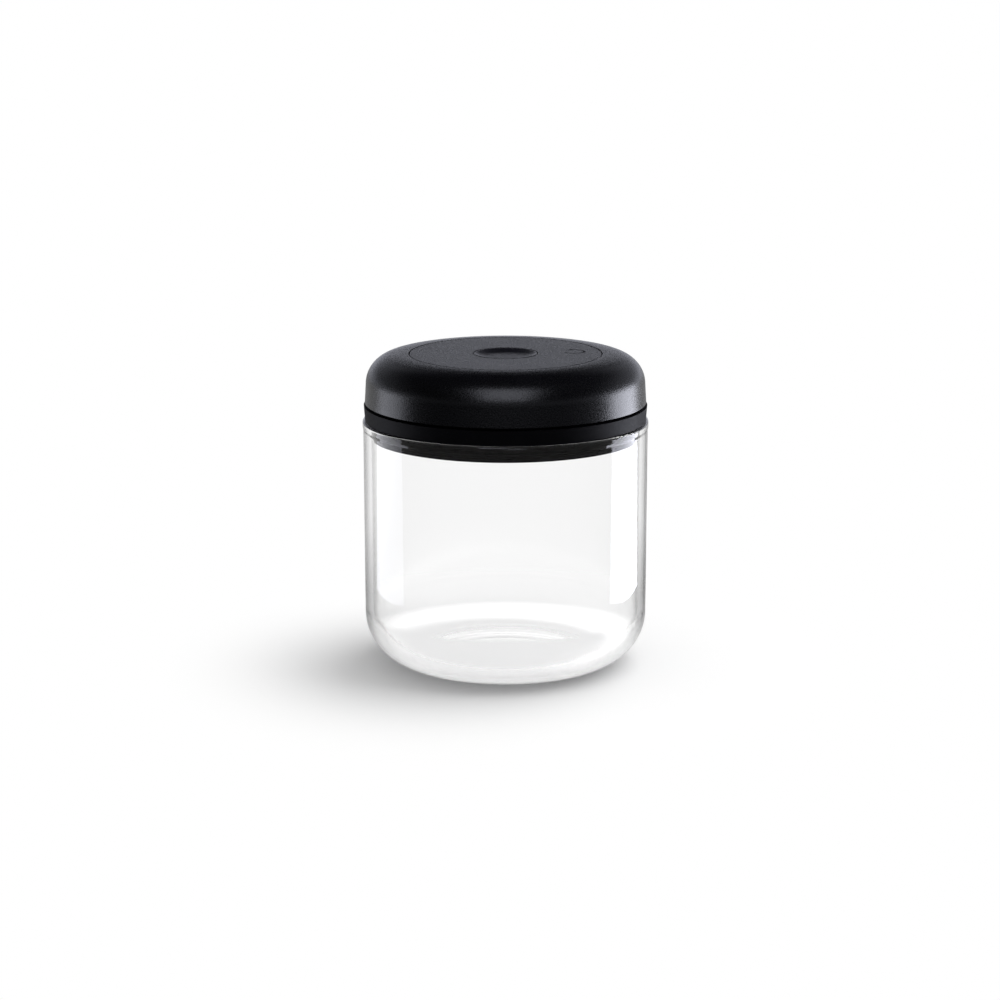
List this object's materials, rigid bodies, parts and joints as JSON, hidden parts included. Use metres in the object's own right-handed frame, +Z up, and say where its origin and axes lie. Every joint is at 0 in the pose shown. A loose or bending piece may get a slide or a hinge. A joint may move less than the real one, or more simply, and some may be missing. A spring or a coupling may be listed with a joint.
{
  "type": "vacuum seal canister",
  "caption": "Straight-walled glass food canister under a domed twist lid that pumps the air out, with a dished release button in the middle of the top.",
  "frame": {"origin": "centre of the foot ring, on the table", "axes": "+Z up along the jar's axis; +X towards one of the follower pins; the picture looks along +Y"},
  "size_m": [0.1108, 0.1108, 0.122],
  "materials": {
    "clear_glass": "clear, fire-polished rim",
    "cap_plastic": "fine spark-eroded grain, black",
    "disc_plastic": "fine grain, black",
    "button_plastic": "fine grain, black",
    "ring_plastic": "satin, black",
    "housing_plastic": "satin, black",
    "slip_acetal": "natural acetal",
    "seal_silicone": "black silicone",
    "valve_silicone": "translucent silicone",
    "screw_steel": "zinc-plated",
    "pin_steel": "ground",
    "spring_steel": "drawn wire",
    "filter_felt": "needled felt"
  },
  "bodies": {
    "jar": {"glass_jar": "clear_glass"},
    "lid_base": {"base_ring": "ring_plastic", "pump_housing": "housing_plastic", "base_screws": "screw_steel", "seal_gasket": "seal_silicone", "thrust_washer": "slip_acetal", "inlet_valve": "valve_silicone", "inlet_filter": "filter_felt", "filter_cover": "housing_plastic", "button_spring": "spring_steel"},
    "cap": {"twist_cap": "cap_plastic", "top_disc": "disc_plastic", "cam_sleeve": "slip_acetal", "cap_screws": "screw_steel"},
    "piston": {"piston": "slip_acetal", "piston_outer_seal": "seal_silicone", "piston_inner_seal": "seal_silicone", "outlet_valve": "valve_silicone", "follower_pins": "pin_steel"},
    "button": {"release_button": "button_plastic", "release_stem": "slip_acetal", "release_seal": "valve_silicone", "seal_retainer": "spring_steel"}
  },
  "joints": [
    {"name": "lid_lift", "type": "slide", "parent": "jar", "child": "lid_base", "axis": [0, 0, 1], "range_m": [0, 0.1]},
    {"name": "cap_twist", "type": "hinge", "parent": "lid_base", "child": "cap", "pos_m": [0, 0, 0.11], "axis": [0, 0, 1], "range_deg": [0, 90]},
    {"name": "piston_stroke", "type": "slide", "parent": "lid_base", "child": "piston", "axis": [0, 0, 1], "range_m": [0, 0.007]},
    {"name": "button_press", "type": "slide", "parent": "lid_base", "child": "button", "axis": [0, 0, -1], "range_m": [0, 0.0025], "stiffness_N_per_m": 1200, "springref_m": -0.002, "deforming": ["button_spring"]}
  ],
  "couplings": [
    {"joint": "piston_stroke", "follows": "cap_twist", "m_per_rad": 0.004456}
  ]
}
